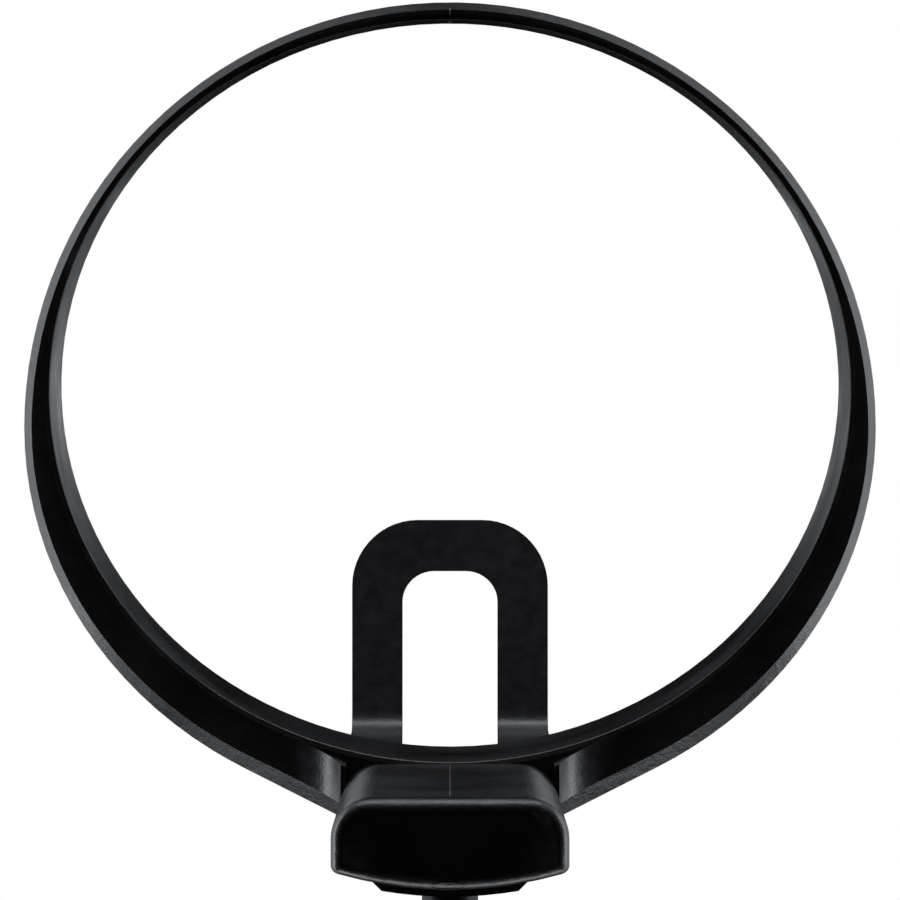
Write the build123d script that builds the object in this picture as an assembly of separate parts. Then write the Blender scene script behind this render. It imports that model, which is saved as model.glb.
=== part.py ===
from build123d import *
import math
import os

# Water bottle cage that slides down onto a dovetail rail plate bolted to a bicycle frame.
# Millimetres. +Z runs up along the bottle, +Y runs from the frame tube towards the bottle.
# The origin is midway between the two frame bolts, in the plane that meets the frame.

# Bottle axis and the ring that holds the bottle
AXIS_Y = 44.4          # bottle axis, measured out from the frame
RIM_Z = 4.0            # flat top of the ring
BORE_A = 38.3          # half width of the oval bore, across the cage
BORE_B = 35.5          # half depth of the oval bore, away from the frame
OUT_A = 40.85          # half width of the ring's outer outline
OUT_FAR = 40.8         # outer outline, half depth on the side away from the frame
OUT_NEAR = 37.3        # outer outline, half depth on the side next to the frame
OUT_SHIFT = 3.5        # outer outline centre, moved this far towards the frame
FLARE_DEG = 61.0       # where the outer outline turns straight to meet the spine
BEVEL_H = 1.0          # height of the bevel round the ring's outer top edge
BEVEL_FAR = 0.8        # bevel width away from the frame and at the sides
BEVEL_NEAR = 1.5       # bevel width next to the frame
RING_H_FAR = 4.5       # ring height furthest from the frame
RING_H_NEAR = 21.5     # ring height at the spine
LIP_W = 0.55           # narrow step just inside the ring's top edge
LIP_H = 0.18
LIP_R = 0.2             # rounded edge between the step and the bore

# Spine, legs and foot
SPINE_HALF = 10.35     # half width of the spine
SPINE_IN = 35.7        # spine's inner face, measured from the bottle axis
SPINE_SIDE = 42.2      # spine's back corners
SPINE_BACK = 43.75     # spine's crowned back at the middle
SPINE_CORNER = 3.6     # rounded inner corners of the spine
SPINE_ROUND = 1.2      # rounded edge of the spine's top
EDGE_R = 0.8           # rounded lower edges of the ring
SPINE_HEEL = 0.8       # rounded back corners
SPINE_TOP = 43.0
SPINE_LOW = -18.6
COVE_R = 4.5           # cove where the ring's top runs up the spine's side
LEG_T = 3.2            # thickness of the legs
LEG_SLOT_TOP = 5.0     # half width of the window between the legs, at the ring
LEG_SLOT_LOW = 5.12    # and at the foot
LEG_HALF_LOW = 10.5    # half width over both legs at the foot
FOOT_TOP = -44.5
FOOT_T = 3.0
FOOT_REACH = 13.2      # foot's free end, measured from the bottle axis
FOOT_SLOT_END = 18.65  # end of the window in the foot, measured from the bottle axis
FOOT_CORNER = 7.0
SLOT_CORNER = 3.4
WINDOW_R = 0.8         # upper corners of the window between the legs
BEND_R = 2.2           # inside of the bend from leg to foot

ROOF_T = 1.5           # spine's closed top, which rests on the rail plate

# Rail plate: wide front flange, 45 degree flanks, crowned back with flat bolt pads
RAIL_IN = 39.3         # front face, measured from the bottle axis
RAIL_FLANGE = 41.25    # back of the wide flange
RAIL_EDGE = 43.9       # where the flanks meet the crowned back
RAIL_HALF_W = 8.6
RAIL_HALF_N = 5.95
RAIL_TOP = SPINE_TOP - ROOF_T
RAIL_LOW = -41.0
SLIDE_GAP = 0.12       # clearance all round the dovetail
PAD_R = 5.6

# Bolts and washers: two M5 screws 64 mm apart
BOLT_Z = 32.0
BOLT_R = 2.5
NECK_R = 2.3           # plain neck inside the plate
BOLT_LEN = 12.0
HEAD_R = 4.25
HEAD_H = 2.3
KEY_AF = 3.0
KEY_DEEP = 1.4
WASHER_R = 5.0
WASHER_T = 1.0
HOLE_R = 2.7
SEAT_R = 5.3
SEAT_Y = 1.6           # floor of the counterbore, out from the frame


def at(radial):
    """Y position of something a given distance from the bottle axis, on the frame side."""
    return AXIS_Y - radial


def ring_outline(inset_far, inset_near):
    """Outer outline of the ring, drawn in by the given amounts."""
    a = OUT_A - inset_far
    far = OUT_FAR - inset_far
    near = OUT_NEAR - inset_near
    centre = (0, at(OUT_SHIFT))
    t = math.radians(FLARE_DEG)
    tx = a * math.cos(t)
    ty = at(OUT_SHIFT) - near * math.sin(t)
    slope = near * math.cos(t) / (a * math.sin(t))
    end_y = ty - (tx - SPINE_HALF + 1.5) * slope
    inner = SPINE_HALF - 1.5
    far_arc = EllipticalCenterArc(centre, a, far, start_angle=0, arc_size=180)
    left = EllipticalCenterArc(centre, a, near, start_angle=180, arc_size=FLARE_DEG)
    right = EllipticalCenterArc(centre, a, near, start_angle=360 - FLARE_DEG, arc_size=FLARE_DEG)
    flare = Polyline(left @ 1, (-inner, end_y), (inner, end_y), right @ 0)
    return make_face(Wire([far_arc, left, *flare.edges(), right]))


def below_ring():
    """Everything below the ring's slanting underside."""
    near = at(BORE_B)
    far = AXIS_Y + BORE_B
    z_near = RIM_Z - RING_H_NEAR
    z_far = RIM_Z - RING_H_FAR
    rise = (z_far - z_near) / (far - near)
    y0 = near - 30
    y1 = far + 30
    side = Polyline(
        (y0, z_near - 30 * rise),
        (y1, z_far + 30 * rise),
        (y1, -90),
        (y0, -90),
        close=True,
    )
    return extrude(Plane.YZ * make_face(side), amount=60, both=True)


def ring():
    """Oval ring with a bevelled outer top edge and a slanting underside."""
    low = Pos(0, 0, RIM_Z - 30) * ring_outline(0, 0)
    shoulder = Pos(0, 0, RIM_Z - BEVEL_H) * ring_outline(0, 0)
    top = Pos(0, 0, RIM_Z) * ring_outline(BEVEL_FAR, BEVEL_NEAR)
    body = extrude(low, amount=30 - BEVEL_H) + loft([shoulder, top], ruled=True)
    body -= Pos(0, AXIS_Y, RIM_Z - 40) * extrude(Ellipse(BORE_A, BORE_B), amount=60)
    body -= below_ring()
    body = fillet(underside(body).inner_wires()[0].edges(), EDGE_R)
    body = fillet(underside(body).outer_wire().edges(), EDGE_R - 0.2)
    low = Pos(0, AXIS_Y, RIM_Z - LIP_H) * Ellipse(BORE_A, BORE_B)
    high = Pos(0, AXIS_Y, RIM_Z) * Ellipse(BORE_A + LIP_W, BORE_B + LIP_W)
    body -= loft([low, high], ruled=True)
    lip = [e for e in body.edges() if abs(e.center().Z - RIM_Z + LIP_H) < 0.01 and e.length > 60]
    return fillet(lip, LIP_R)


def underside(body):
    """The ring's slanting lower face."""
    return [f for f in body.faces() if f.geom_type == GeomType.PLANE and f.normal_at().Z < -0.9][0]


def spine_section():
    """Plan of the spine: rounded inner corners and a crowned back."""
    back = ThreePointArc(
        (-SPINE_HALF, at(SPINE_SIDE)), (0, at(SPINE_BACK)), (SPINE_HALF, at(SPINE_SIDE))
    )
    front = Polyline(
        (SPINE_HALF, at(SPINE_SIDE)),
        (SPINE_HALF, at(SPINE_IN)),
        (-SPINE_HALF, at(SPINE_IN)),
        (-SPINE_HALF, at(SPINE_SIDE)),
    )
    face = make_face(Wire([back, *front.edges()]))
    corners = face.vertices().sort_by(Axis.Y)[-2:]
    face = fillet(corners, SPINE_CORNER)
    heels = [v for v in face.vertices() if abs(v.Y - at(SPINE_SIDE)) < 0.01]
    return fillet(heels, SPINE_HEEL)


def cove(side):
    """Cove that carries the ring's top up the side of the spine."""
    x0 = side * (SPINE_HALF - 1.2)
    x1 = side * SPINE_HALF
    x2 = side * (SPINE_HALF + COVE_R)
    mid = COVE_R * (1 - math.sin(math.radians(45)))
    arc = ThreePointArc(
        (x1, RIM_Z + COVE_R), (x1 + side * mid, RIM_Z + mid), (x2, RIM_Z)
    )
    low = RIM_Z - 3
    high = RIM_Z + COVE_R
    rest = Polyline((x2, RIM_Z), (x2, low), (x0, low), (x0, high), (x1, high))
    face = Plane.XZ * make_face(Wire([arc, *rest.edges()]))
    block = Pos(0, 20, 0) * extrude(face, amount=40)
    plan = Polyline(
        (side * (SPINE_HALF + COVE_R + 1), at(32.8)),
        (side * (SPINE_HALF + COVE_R - 0.4), at(33.4)),
        (side * (SPINE_HALF - 0.45), at(SPINE_IN - 0.1)),
        (side * (SPINE_HALF - 0.25), at(37.2)),
        (side * (SPINE_HALF - 1.1), at(38.5)),
        (side * (SPINE_HALF - 1.1), at(SPINE_SIDE)),
        (side * (SPINE_HALF + COVE_R + 1), at(SPINE_SIDE)),
        close=True,
    )
    block &= Pos(0, 0, RIM_Z - 2) * extrude(make_face(plan), amount=20)
    return block & extrude(Pos(0, 0, RIM_Z - 4) * ring_outline(BEVEL_FAR, BEVEL_NEAR), amount=20)


def spine():
    """The solid spine before the rail socket is cut."""
    body = extrude(Pos(0, 0, SPINE_LOW) * spine_section(), amount=SPINE_TOP - SPINE_LOW)
    return fillet(body.faces().sort_by(Axis.Z)[-1].outer_wire().edges(), SPINE_ROUND)


def legs_and_foot():
    """Two legs that run down from the ring and turn in under the bottle as one foot."""
    y_in = at(SPINE_IN)
    y_out = at(SPINE_IN + LEG_T)
    y_end = at(FOOT_REACH)
    low = FOOT_TOP - FOOT_T
    side = Polyline(
        (y_out, SPINE_LOW + 6),
        (y_in, SPINE_LOW + 6),
        (y_in, FOOT_TOP),
        (y_end, FOOT_TOP),
        (y_end, low),
        (y_out, low),
        close=True,
    )
    face = make_face(side)
    inside = face.vertices().sort_by_distance((y_in, FOOT_TOP))[0]
    face = fillet(inside, BEND_R)
    outside = face.vertices().sort_by_distance((y_out, low))[0]
    face = fillet(outside, BEND_R + FOOT_T)
    body = extrude(Plane.YZ * face, amount=20, both=True)
    front = Polyline(
        (-SPINE_HALF, SPINE_LOW + 6),
        (SPINE_HALF, SPINE_LOW + 6),
        (SPINE_HALF, RIM_Z - RING_H_NEAR),
        (LEG_HALF_LOW, FOOT_TOP + BEND_R),
        (LEG_HALF_LOW, low - 1),
        (-LEG_HALF_LOW, low - 1),
        (-LEG_HALF_LOW, FOOT_TOP + BEND_R),
        (-SPINE_HALF, RIM_Z - RING_H_NEAR),
        close=True,
    )
    body &= Pos(0, 60, 0) * extrude(Plane.XZ * make_face(front), amount=80)
    depth = y_end - y_out + 20
    plan = Pos(0, y_end - depth / 2) * Rectangle(2 * LEG_HALF_LOW, depth)
    plan = fillet(plan.vertices().sort_by(Axis.Y)[-2:], FOOT_CORNER)
    body &= Pos(0, 0, low - 1) * extrude(plan, amount=60)
    window = Polyline(
        (-LEG_SLOT_TOP, RIM_Z - RING_H_NEAR),
        (LEG_SLOT_TOP, RIM_Z - RING_H_NEAR),
        (LEG_SLOT_LOW, FOOT_TOP + BEND_R),
        (LEG_SLOT_LOW, low - 1),
        (-LEG_SLOT_LOW, low - 1),
        (-LEG_SLOT_LOW, FOOT_TOP + BEND_R),
        close=True,
    )
    window = make_face(window)
    window = fillet(window.vertices().sort_by(Axis.Y)[-2:], WINDOW_R)
    opening = Pos(0, 60, 0) * extrude(Plane.XZ * window, amount=80)
    y_slot = at(FOOT_SLOT_END)
    span = y_slot + 10
    hole = Pos(0, y_slot - span / 2) * Rectangle(2 * LEG_SLOT_LOW, span)
    hole = fillet(hole.vertices().sort_by(Axis.Y)[-2:], SLOT_CORNER)
    opening &= Pos(0, 0, low - 2) * extrude(hole, amount=60)
    body -= opening
    return body


def rail_section():
    """Plan of the dovetail plate: wide flange, 45 degree flanks, crowned back."""
    n = RAIL_HALF_N
    w = RAIL_HALF_W
    y_edge = at(RAIL_EDGE)
    y_flange = at(RAIL_FLANGE)
    y_front = at(RAIL_IN)
    crown = ThreePointArc((n, y_edge), (0, 0), (-n, y_edge))
    line = Polyline((-n, y_edge), (-w, y_flange), (-w, y_front), (w, y_front), (w, y_flange), (n, y_edge))
    return make_face(Wire([crown, *line.edges()]))


def socket_section():
    """Plan of the socket in the spine: the dovetail with clearance, open at the back."""
    grow = SLIDE_GAP * math.tan(math.radians(22.5))
    n = RAIL_HALF_N + SLIDE_GAP / math.cos(math.radians(45))
    w = RAIL_HALF_W + SLIDE_GAP
    y_edge = at(RAIL_EDGE)
    y_flange = at(RAIL_FLANGE) - grow
    y_front = at(RAIL_IN) + SLIDE_GAP
    line = Polyline(
        (-n, y_edge - 6),
        (-n, y_edge),
        (-w, y_flange),
        (-w, y_front),
        (w, y_front),
        (w, y_flange),
        (n, y_edge),
        (n, y_edge - 6),
        close=True,
    )
    return make_face(line)


def cage_body():
    """One moulding: ring, closed-top spine with rail socket, legs and foot."""
    body = ring() + spine() + cove(1) + cove(-1) + legs_and_foot()
    body -= extrude(Pos(0, 0, -60) * socket_section(), amount=RAIL_TOP + 60)
    return body


def along_y(radius, y0, y1, z):
    """A cylinder that runs along Y."""
    return Pos(0, y1, z) * extrude(Plane.XZ * Circle(radius), amount=y1 - y0)


def rail_plate():
    """Dovetail plate with two counterbored bolt holes and flat pads on the frame side."""
    body = extrude(Pos(0, 0, RAIL_LOW) * rail_section(), amount=RAIL_TOP - RAIL_LOW)
    lead = body.faces().sort_by(Axis.Z)[-1].edges().sort_by(Axis.Y)[-1]
    body = chamfer(lead, 0.8)
    for z in (BOLT_Z, -BOLT_Z):
        body += along_y(PAD_R, 0, 2, z)
    for z in (BOLT_Z, -BOLT_Z):
        body -= along_y(HOLE_R, -1, 8, z)
        body -= along_y(SEAT_R, SEAT_Y, 8, z)
    return body


def washer(z):
    """Plain washer at the bottom of the counterbore."""
    ring_ = along_y(WASHER_R, SEAT_Y, SEAT_Y + WASHER_T, z) - along_y(HOLE_R, 0, 8, z)
    return ring_


def bolt(z):
    """Low head socket screw, standing out behind the plate to enter the frame."""
    y_head = SEAT_Y + WASHER_T
    head = along_y(HEAD_R, y_head, y_head + HEAD_H, z)
    head = fillet(head.edges().sort_by(Axis.Y)[-1], 0.4)
    shank = along_y(BOLT_R, y_head - BOLT_LEN, -0.2, z) + along_y(NECK_R, -0.2, y_head, z)
    shank = chamfer(shank.edges().sort_by(Axis.Y)[0], 0.6)
    key = Plane.XZ * RegularPolygon(KEY_AF / 2, 6, major_radius=False)
    top = y_head + HEAD_H
    return head + shank - Pos(0, top, z) * extrude(key, amount=KEY_DEEP)


PARTS = {
    "cage_body": cage_body,
    "rail_plate": rail_plate,
    "upper_bolt": lambda: bolt(BOLT_Z),
    "lower_bolt": lambda: bolt(-BOLT_Z),
    "upper_washer": lambda: washer(BOLT_Z),
    "lower_washer": lambda: washer(-BOLT_Z),
}

os.makedirs("parts", exist_ok=True)
for name, make in PARTS.items():
    shape = make()
    export_step(shape, "parts/" + name + ".step")
    print(name, len(shape.solids()), "solids", round(shape.volume, 1), "mm3")
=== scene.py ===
import math
import bpy
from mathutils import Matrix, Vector


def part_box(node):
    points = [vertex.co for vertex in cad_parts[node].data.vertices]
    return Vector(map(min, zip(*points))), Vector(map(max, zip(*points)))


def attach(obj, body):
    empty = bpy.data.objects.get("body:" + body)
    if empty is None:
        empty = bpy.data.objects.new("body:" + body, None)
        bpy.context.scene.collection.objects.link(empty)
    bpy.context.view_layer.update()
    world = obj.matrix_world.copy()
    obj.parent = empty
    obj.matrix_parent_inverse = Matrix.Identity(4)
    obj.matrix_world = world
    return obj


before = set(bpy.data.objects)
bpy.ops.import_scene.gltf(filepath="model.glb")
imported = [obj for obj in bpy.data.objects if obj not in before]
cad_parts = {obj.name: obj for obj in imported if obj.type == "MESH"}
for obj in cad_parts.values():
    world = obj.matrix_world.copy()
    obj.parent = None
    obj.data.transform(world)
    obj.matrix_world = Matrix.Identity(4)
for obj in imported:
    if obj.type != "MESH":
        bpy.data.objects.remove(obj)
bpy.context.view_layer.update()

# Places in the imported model's frame, in metres.
RIM_Z = 0.004          # flat top of the ring
AXIS_Y = 0.0444        # bottle axis
VIEW_D = 0.400         # camera above the ring's top
VIEW_OFF = 0.00565     # camera stands this far towards the frame
LENS = 167.2           # millimetres, on a 36 mm sensor
FLOOR_DROP = 0.06      # floor below the foot
FLOOR_HALF = 3.0       # half width of the floor


def node(tree, kind, **inputs):
    n = tree.nodes.new(kind)
    for key, value in inputs.items():
        n.inputs[key].default_value = value
    return n


def ramp(tree, low, high, a, b):
    """Colour ramp from value a at low to value b at high."""
    n = tree.nodes.new("ShaderNodeValToRGB")
    n.color_ramp.elements[0].position = low
    n.color_ramp.elements[1].position = high
    n.color_ramp.elements[0].color = (*a, 1)
    n.color_ramp.elements[1].color = (*b, 1)
    return n


def plastic(name, base, edge_wear_and_highlight, rough, grain_scale, grain_depth):
    """Moulded nylon: fine spark-eroded grain, faint flow mottling, and convex edges painted
    lighter, partly as rubbed wear and partly as a painted highlight along the rims.
    """
    mat = bpy.data.materials.new(name)
    mat.use_nodes = True
    t = mat.node_tree
    t.nodes.clear()
    out = t.nodes.new("ShaderNodeOutputMaterial")
    bsdf = t.nodes.new("ShaderNodeBsdfPrincipled")
    bsdf.inputs["IOR"].default_value = 1.5
    bsdf.inputs["Metallic"].default_value = 0.0
    t.links.new(bsdf.outputs[0], out.inputs["Surface"])
    pos = t.nodes.new("ShaderNodeTexCoord")
    mottle = node(t, "ShaderNodeTexNoise", Scale=620.0, Detail=5.0, Roughness=0.62)
    t.links.new(pos.outputs["Object"], mottle.inputs["Vector"])
    flow = node(t, "ShaderNodeTexNoise", Scale=90.0, Detail=3.0, Roughness=0.5)
    t.links.new(pos.outputs["Object"], flow.inputs["Vector"])
    geo = t.nodes.new("ShaderNodeNewGeometry")
    # Convex edges found by pointiness, broken up by noise, get a lighter colour: partly rubbed
    # wear, partly a painted highlight standing in for light caught on the rims.
    edge = ramp(t, 0.52, 0.60, (0, 0, 0), (1, 1, 1))
    t.links.new(geo.outputs["Pointiness"], edge.inputs["Fac"])
    edge_breakup = node(t, "ShaderNodeTexNoise", Scale=700.0, Detail=3.0)
    t.links.new(pos.outputs["Object"], edge_breakup.inputs["Vector"])
    wear_and_highlight_mask = t.nodes.new("ShaderNodeMath")
    wear_and_highlight_mask.operation = "MULTIPLY"
    t.links.new(edge.outputs["Color"], wear_and_highlight_mask.inputs[0])
    t.links.new(edge_breakup.outputs["Fac"], wear_and_highlight_mask.inputs[1])
    tone = ramp(t, 0.35, 0.70, base, [c * 1.7 for c in base])
    t.links.new(mottle.outputs["Fac"], tone.inputs["Fac"])
    # The edges take the lighter colour here: rubbed wear and painted edge highlight.
    mix = t.nodes.new("ShaderNodeMix")
    mix.data_type = "RGBA"
    mix.inputs["B"].default_value = (*edge_wear_and_highlight, 1)
    t.links.new(wear_and_highlight_mask.outputs[0], mix.inputs["Factor"])
    t.links.new(tone.outputs["Color"], mix.inputs["A"])
    t.links.new(mix.outputs["Result"], bsdf.inputs["Base Color"])
    spread = t.nodes.new("ShaderNodeMapRange")
    spread.inputs["From Min"].default_value = 0.3
    spread.inputs["From Max"].default_value = 0.7
    spread.inputs["To Min"].default_value = rough - 0.09
    spread.inputs["To Max"].default_value = rough + 0.09
    t.links.new(flow.outputs["Fac"], spread.inputs["Value"])
    t.links.new(spread.outputs["Result"], bsdf.inputs["Roughness"])
    grain = node(t, "ShaderNodeTexNoise", Scale=grain_scale, Detail=2.0, Roughness=0.6)
    t.links.new(pos.outputs["Object"], grain.inputs["Vector"])
    bump = node(t, "ShaderNodeBump", Strength=0.55, Distance=grain_depth)
    t.links.new(grain.outputs["Fac"], bump.inputs["Height"])
    coarse = node(t, "ShaderNodeBump", Strength=0.7, Distance=grain_depth * 3.0)
    t.links.new(mottle.outputs["Fac"], coarse.inputs["Height"])
    t.links.new(bump.outputs["Normal"], coarse.inputs["Normal"])
    t.links.new(coarse.outputs["Normal"], bsdf.inputs["Normal"])
    return mat


def steel(name, tint, rough, lathe):
    """Machined steel with turning marks about the screw's own axis, along Y."""
    mat = bpy.data.materials.new(name)
    mat.use_nodes = True
    t = mat.node_tree
    bsdf = t.nodes["Principled BSDF"]
    bsdf.inputs["Metallic"].default_value = 1.0
    pos = t.nodes.new("ShaderNodeTexCoord")
    stretch = t.nodes.new("ShaderNodeMapping")
    stretch.inputs["Scale"].default_value = lathe
    t.links.new(pos.outputs["Object"], stretch.inputs["Vector"])
    marks = node(t, "ShaderNodeTexNoise", Scale=1500.0, Detail=3.0)
    t.links.new(stretch.outputs["Vector"], marks.inputs["Vector"])
    tone = ramp(t, 0.3, 0.7, [c * 0.75 for c in tint], tint)
    t.links.new(marks.outputs["Fac"], tone.inputs["Fac"])
    t.links.new(tone.outputs["Color"], bsdf.inputs["Base Color"])
    spread = t.nodes.new("ShaderNodeMapRange")
    spread.inputs["To Min"].default_value = rough - 0.08
    spread.inputs["To Max"].default_value = rough + 0.1
    t.links.new(marks.outputs["Fac"], spread.inputs["Value"])
    t.links.new(spread.outputs["Result"], bsdf.inputs["Roughness"])
    bump = node(t, "ShaderNodeBump", Strength=0.3, Distance=0.00003)
    t.links.new(marks.outputs["Fac"], bump.inputs["Height"])
    t.links.new(bump.outputs["Normal"], bsdf.inputs["Normal"])
    return mat


def dress(name, mat):
    """Give a CAD node its material."""
    obj = bpy.data.objects[name]
    for slot in obj.material_slots:
        slot.material = mat
    if not obj.material_slots:
        obj.data.materials.append(mat)


# The second colour is the lighter edge colour: rubbed wear and a painted highlight on the rims.
cage = plastic("cage_nylon", (0.003, 0.0031, 0.0035), (0.05, 0.051, 0.055), 0.35, 5200.0, 0.00004)
rail = plastic("rail_nylon", (0.006, 0.006, 0.007), (0.04, 0.04, 0.043), 0.5, 4200.0, 0.00005)
screw = steel("bolt_steel", (0.02, 0.02, 0.021), 0.42, (1.0, 12.0, 1.0))
plain = steel("washer_steel", (0.45, 0.45, 0.46), 0.34, (1.0, 1.0, 1.0))
dress("cage_body", cage)
dress("rail_plate", rail)
for name in ("upper_bolt", "lower_bolt"):
    dress(name, screw)
for name in ("upper_washer", "lower_washer"):
    dress(name, plain)


def ridge(name, points, across, out, body):
    """Thin raised line left by the mould's joint: a shallow roof along the given points."""
    sunk = 0.00002      # the roof's eaves lie this far under the surface
    verts = []
    faces = []
    for p, n in points:
        p = Vector(p)
        n = Vector(n).normalized()
        side = Vector(across)
        verts += [p - side - n * sunk, p + n * out, p + side - n * sunk]
    for i in range(len(points) - 1):
        k = 3 * i
        faces += [(k, k + 1, k + 4, k + 3), (k + 1, k + 2, k + 5, k + 4), (k + 2, k, k + 3, k + 5)]
    last = 3 * (len(points) - 1)
    faces += [(0, 2, 1), (last, last + 1, last + 2)]
    mesh = bpy.data.meshes.new(name)
    mesh.from_pydata([tuple(v) for v in verts], [], faces)
    mesh.materials.append(cage)
    obj = bpy.data.objects.new(name, mesh)
    bpy.context.scene.collection.objects.link(obj)
    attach(obj, body)


# The mould parts on the middle plane: it shows on the far side of the ring and on the spine.
far_in = AXIS_Y + 0.0355
spine_in = AXIS_Y - 0.0357
top_z = 0.043
ridge(
    "parting_line_ring",
    [
        ((0, far_in, RIM_Z - 0.0028), (0, -1, 0)),
        ((0, far_in, RIM_Z - 0.0005), (0, -1, 0)),
        ((0, far_in + 0.0005, RIM_Z - 0.00003), (0, -0.4, 1)),
        ((0, far_in + 0.0011, RIM_Z), (0, 0, 1)),
    ],
    (0.00006, 0, 0),
    0.00004,
    "cage",
)
ridge(
    "parting_line_spine",
    [((0, spine_in, RIM_Z + 0.0005), (0, 1, 0)), ((0, spine_in, top_z - 0.0011), (0, 1, 0))],
    (0.00005, 0, 0),
    0.00002,
    "cage",
)


def gate_mark():
    """Witness mark of the mould's feed: a shallow oval ring on the rolled back edge."""
    verts = []
    faces = []
    turns = 48
    sides = 8
    tilt = math.radians(42)
    centre = Vector((-0.0002, AXIS_Y - 0.0437 + 0.00034, top_z - 0.00037))
    u = Vector((1, 0, 0))
    v = Vector((0, math.cos(tilt), math.sin(tilt)))
    n = u.cross(v)
    for i in range(turns):
        a = 2 * math.pi * i / turns
        spoke = u * math.cos(a) * 0.0014 + v * math.sin(a) * 0.00042
        flat = u * math.cos(a) + v * math.sin(a)
        for j in range(sides):
            b = 2 * math.pi * j / sides
            lift = flat * 0.00006 * math.cos(b) + n * 0.00004 * math.sin(b)
            verts.append(tuple(centre + spoke + lift))
    for i in range(turns):
        for j in range(sides):
            p = i * sides + j
            q = i * sides + (j + 1) % sides
            r = ((i + 1) % turns) * sides
            faces.append((p, q, r + (j + 1) % sides, r + j))
    mesh = bpy.data.meshes.new("gate_mark")
    mesh.from_pydata(verts, [], faces)
    mesh.materials.append(cage)
    mesh.shade_smooth()
    obj = bpy.data.objects.new("gate_mark", mesh)
    bpy.context.scene.collection.objects.link(obj)
    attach(obj, "cage")


gate_mark()

# Camera straight down the bottle's axis, a little towards the frame.
cam_data = bpy.data.cameras.new("camera")
cam = bpy.data.objects.new("camera", cam_data)
bpy.context.scene.collection.objects.link(cam)
cam.location = (0.0, AXIS_Y - VIEW_OFF, RIM_Z + VIEW_D)
cam.rotation_euler = (0.0, 0.0, 0.0)
cam_data.sensor_width = 36.0
cam_data.lens = LENS
cam_data.clip_start = 0.01
cam_data.clip_end = 20.0
bpy.context.scene.camera = cam

# White floor, well under the foot. The camera sees it plain; the part is lit by a pattern on it.
floor_mesh = bpy.data.meshes.new("floor")
s = FLOOR_HALF
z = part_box("cage_body")[0][2] - FLOOR_DROP
floor_mesh.from_pydata([(-s, -s, z), (s, -s, z), (s, s, z), (-s, s, z)], [], [(0, 1, 2, 3)])
floor = bpy.data.objects.new("floor", floor_mesh)
bpy.context.scene.collection.objects.link(floor)
paper = bpy.data.materials.new("paper")
paper.use_nodes = True
pt = paper.node_tree
pt.nodes.clear()
p_out = pt.nodes.new("ShaderNodeOutputMaterial")
p_mix = pt.nodes.new("ShaderNodeMixShader")
p_path = pt.nodes.new("ShaderNodeLightPath")
seen = node(pt, "ShaderNodeEmission", Color=(1, 1, 1, 1), Strength=1.0)
felt = node(pt, "ShaderNodeEmission", Color=(0.9, 0.95, 1.0, 1))
p_geo = pt.nodes.new("ShaderNodeTexCoord")
p_xyz = pt.nodes.new("ShaderNodeSeparateXYZ")
pt.links.new(p_geo.outputs["Object"], p_xyz.inputs[0])


def paper_math(kind, a, b=None):
    """Sum on the floor pattern's values."""
    n = pt.nodes.new("ShaderNodeMath")
    n.operation = kind
    pt.links.new(a, n.inputs[0])
    if b is not None:
        pt.links.new(b, n.inputs[1])
    return n.outputs[0]


def paper_step(value, low, high, top=1.0):
    """Smooth rise from nothing at low to top at high."""
    n = pt.nodes.new("ShaderNodeMapRange")
    n.interpolation_type = "SMOOTHSTEP"
    n.inputs["From Min"].default_value = low
    n.inputs["From Max"].default_value = high
    n.inputs["To Max"].default_value = top
    pt.links.new(value, n.inputs["Value"])
    return n.outputs["Result"]


# Glow in short strips at both sides of the bottle's axis, and again further out.
across = paper_math("ABSOLUTE", p_xyz.outputs["X"])
beside = paper_step(across, 0.018, 0.032, 1.4)
beyond = paper_step(p_xyz.outputs["Y"], AXIS_Y - 0.016, AXIS_Y + 0.002)
short_of = paper_step(p_xyz.outputs["Y"], AXIS_Y + 0.045, AXIS_Y + 0.015)
strip = paper_math("MULTIPLY", beyond, short_of)
close_by = paper_math("MULTIPLY", beside, strip)
outer = paper_step(across, 0.075, 0.130, 1.2)
pt.links.new(paper_math("MAXIMUM", close_by, outer), felt.inputs["Strength"])
pt.links.new(p_path.outputs["Is Camera Ray"], p_mix.inputs["Fac"])
pt.links.new(felt.outputs[0], p_mix.inputs[1])
pt.links.new(seen.outputs[0], p_mix.inputs[2])
pt.links.new(p_mix.outputs[0], p_out.inputs["Surface"])
floor_mesh.materials.append(paper)

# Four wide soft boxes stand low round the part; the space round the camera is dark.
world = bpy.data.worlds.new("world")
bpy.context.scene.world = world
world.use_nodes = True
sky = world.node_tree.nodes["Background"]
sky.inputs["Color"].default_value = (0.5, 0.52, 0.56, 1)
sky.inputs["Strength"].default_value = 0.008


def softbox(name, place, size, power):
    """Area light that faces the middle of the ring."""
    data = bpy.data.lights.new(name, "AREA")
    data.shape = "RECTANGLE"
    data.size, data.size_y = size
    data.energy = power
    data.color = (0.93, 0.96, 1.0)
    obj = bpy.data.objects.new(name, data)
    obj.location = place
    aim = Vector((0.0, AXIS_Y, RIM_Z)) - Vector(place)
    obj.rotation_euler = aim.to_track_quat("-Z", "Y").to_euler()
    bpy.context.scene.collection.objects.link(obj)


softbox("left", (-0.6, AXIS_Y, 0.0), (0.9, 0.2), 3.0)
softbox("right", (0.6, AXIS_Y, 0.0), (0.9, 0.2), 3.0)
softbox("back", (0.0, AXIS_Y + 0.7, 0.15), (0.7, 0.2), 3.2)
softbox("front", (0.0, AXIS_Y - 0.7, 0.0), (0.8, 0.2), 2.5)

view = bpy.context.scene.view_settings
view.view_transform = "Standard"
view.look = "None"
